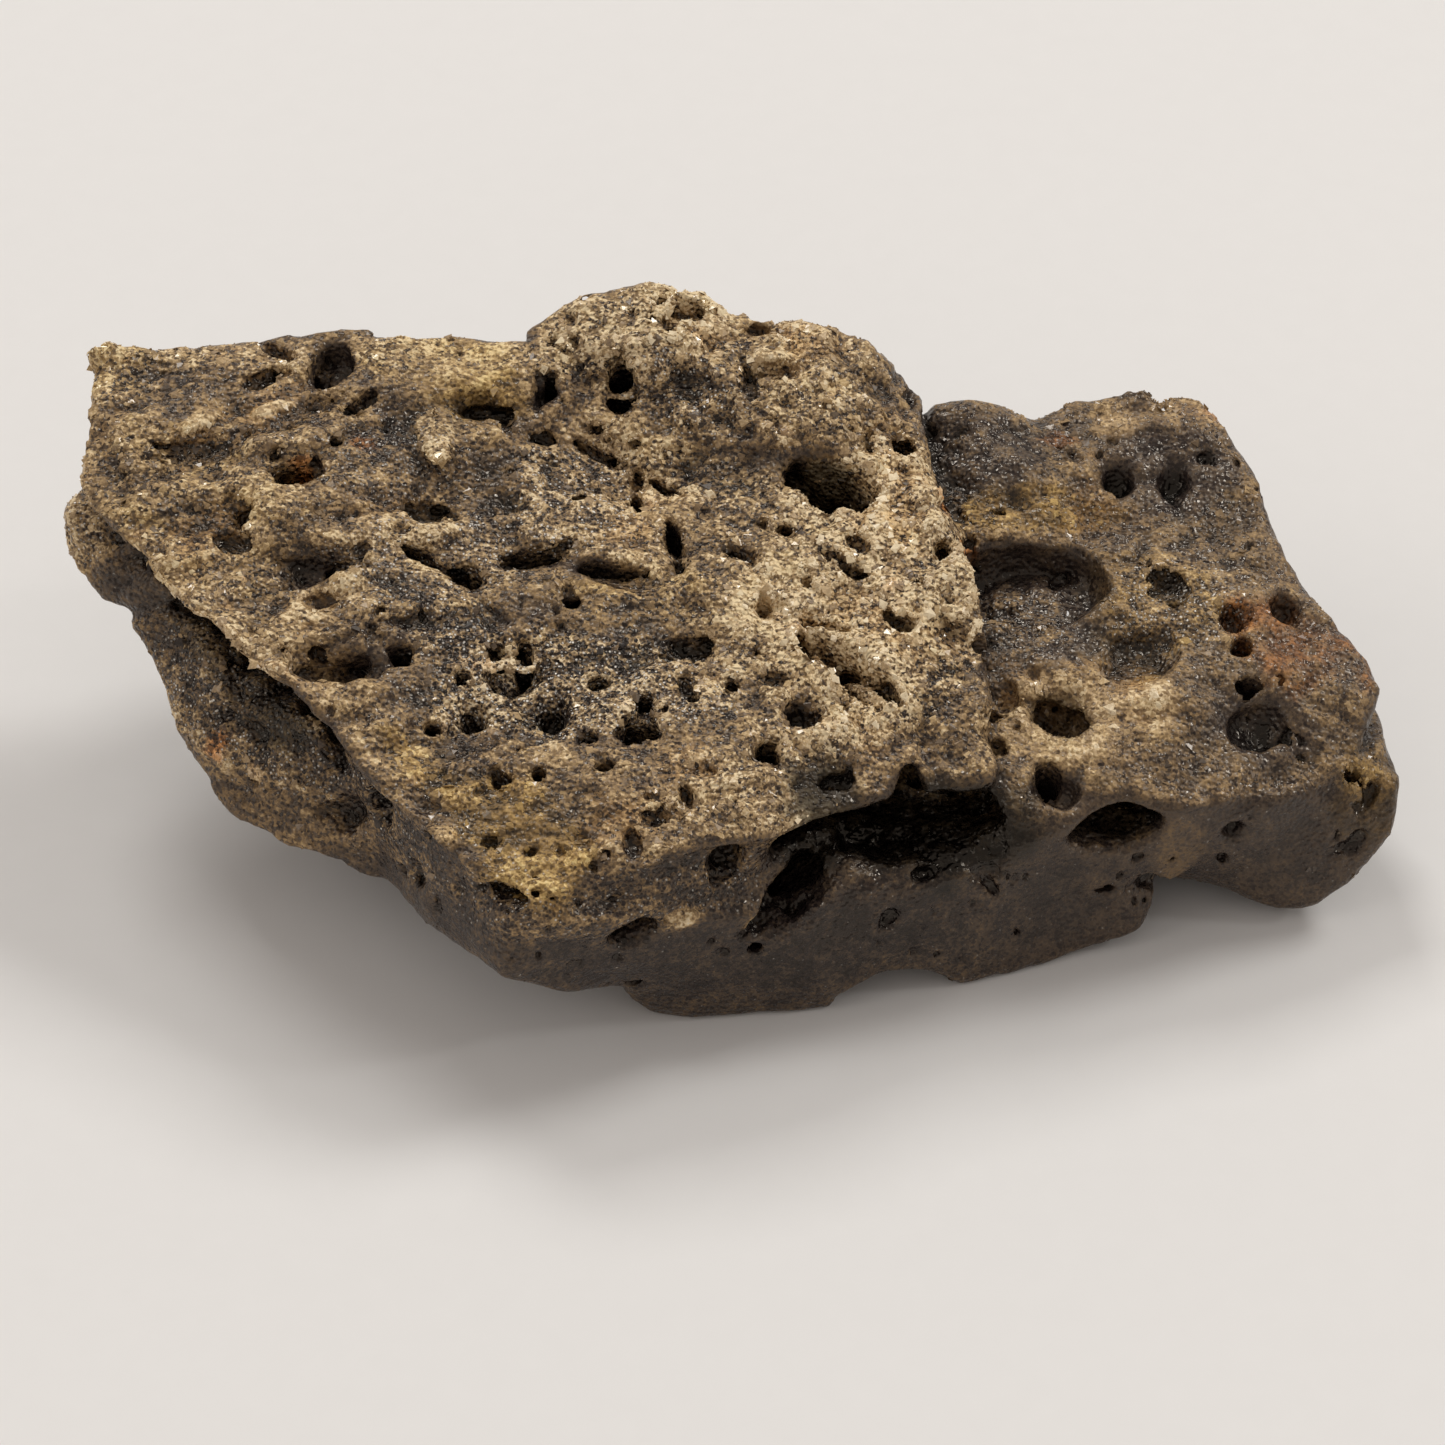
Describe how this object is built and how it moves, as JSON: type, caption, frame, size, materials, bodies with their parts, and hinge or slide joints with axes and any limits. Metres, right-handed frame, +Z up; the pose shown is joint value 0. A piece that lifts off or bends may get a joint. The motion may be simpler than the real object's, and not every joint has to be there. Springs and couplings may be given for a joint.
{
  "type": "impact glass fragment",
  "caption": "Bubbly, slag-like fragment of natural impact glass: a pitted flow crust with a low hump over a darker broken block, stepping down at one end.",
  "frame": {"origin": "middle of the bounding box's base, at the height of the surface that the fragment rests on", "axes": "+X along the fragment's length towards the block that steps down, +Z up, the broad front face towards -Y"},
  "size_m": [0.0448, 0.0236, 0.0141],
  "materials": {
    "impact_glass": "opaque dull slag-like glass, tan sandy crust over glossier dark grey and olive glass"
  },
  "bodies": {
    "root": {"impact_glass": "impact_glass"}
  },
  "joints": []
}
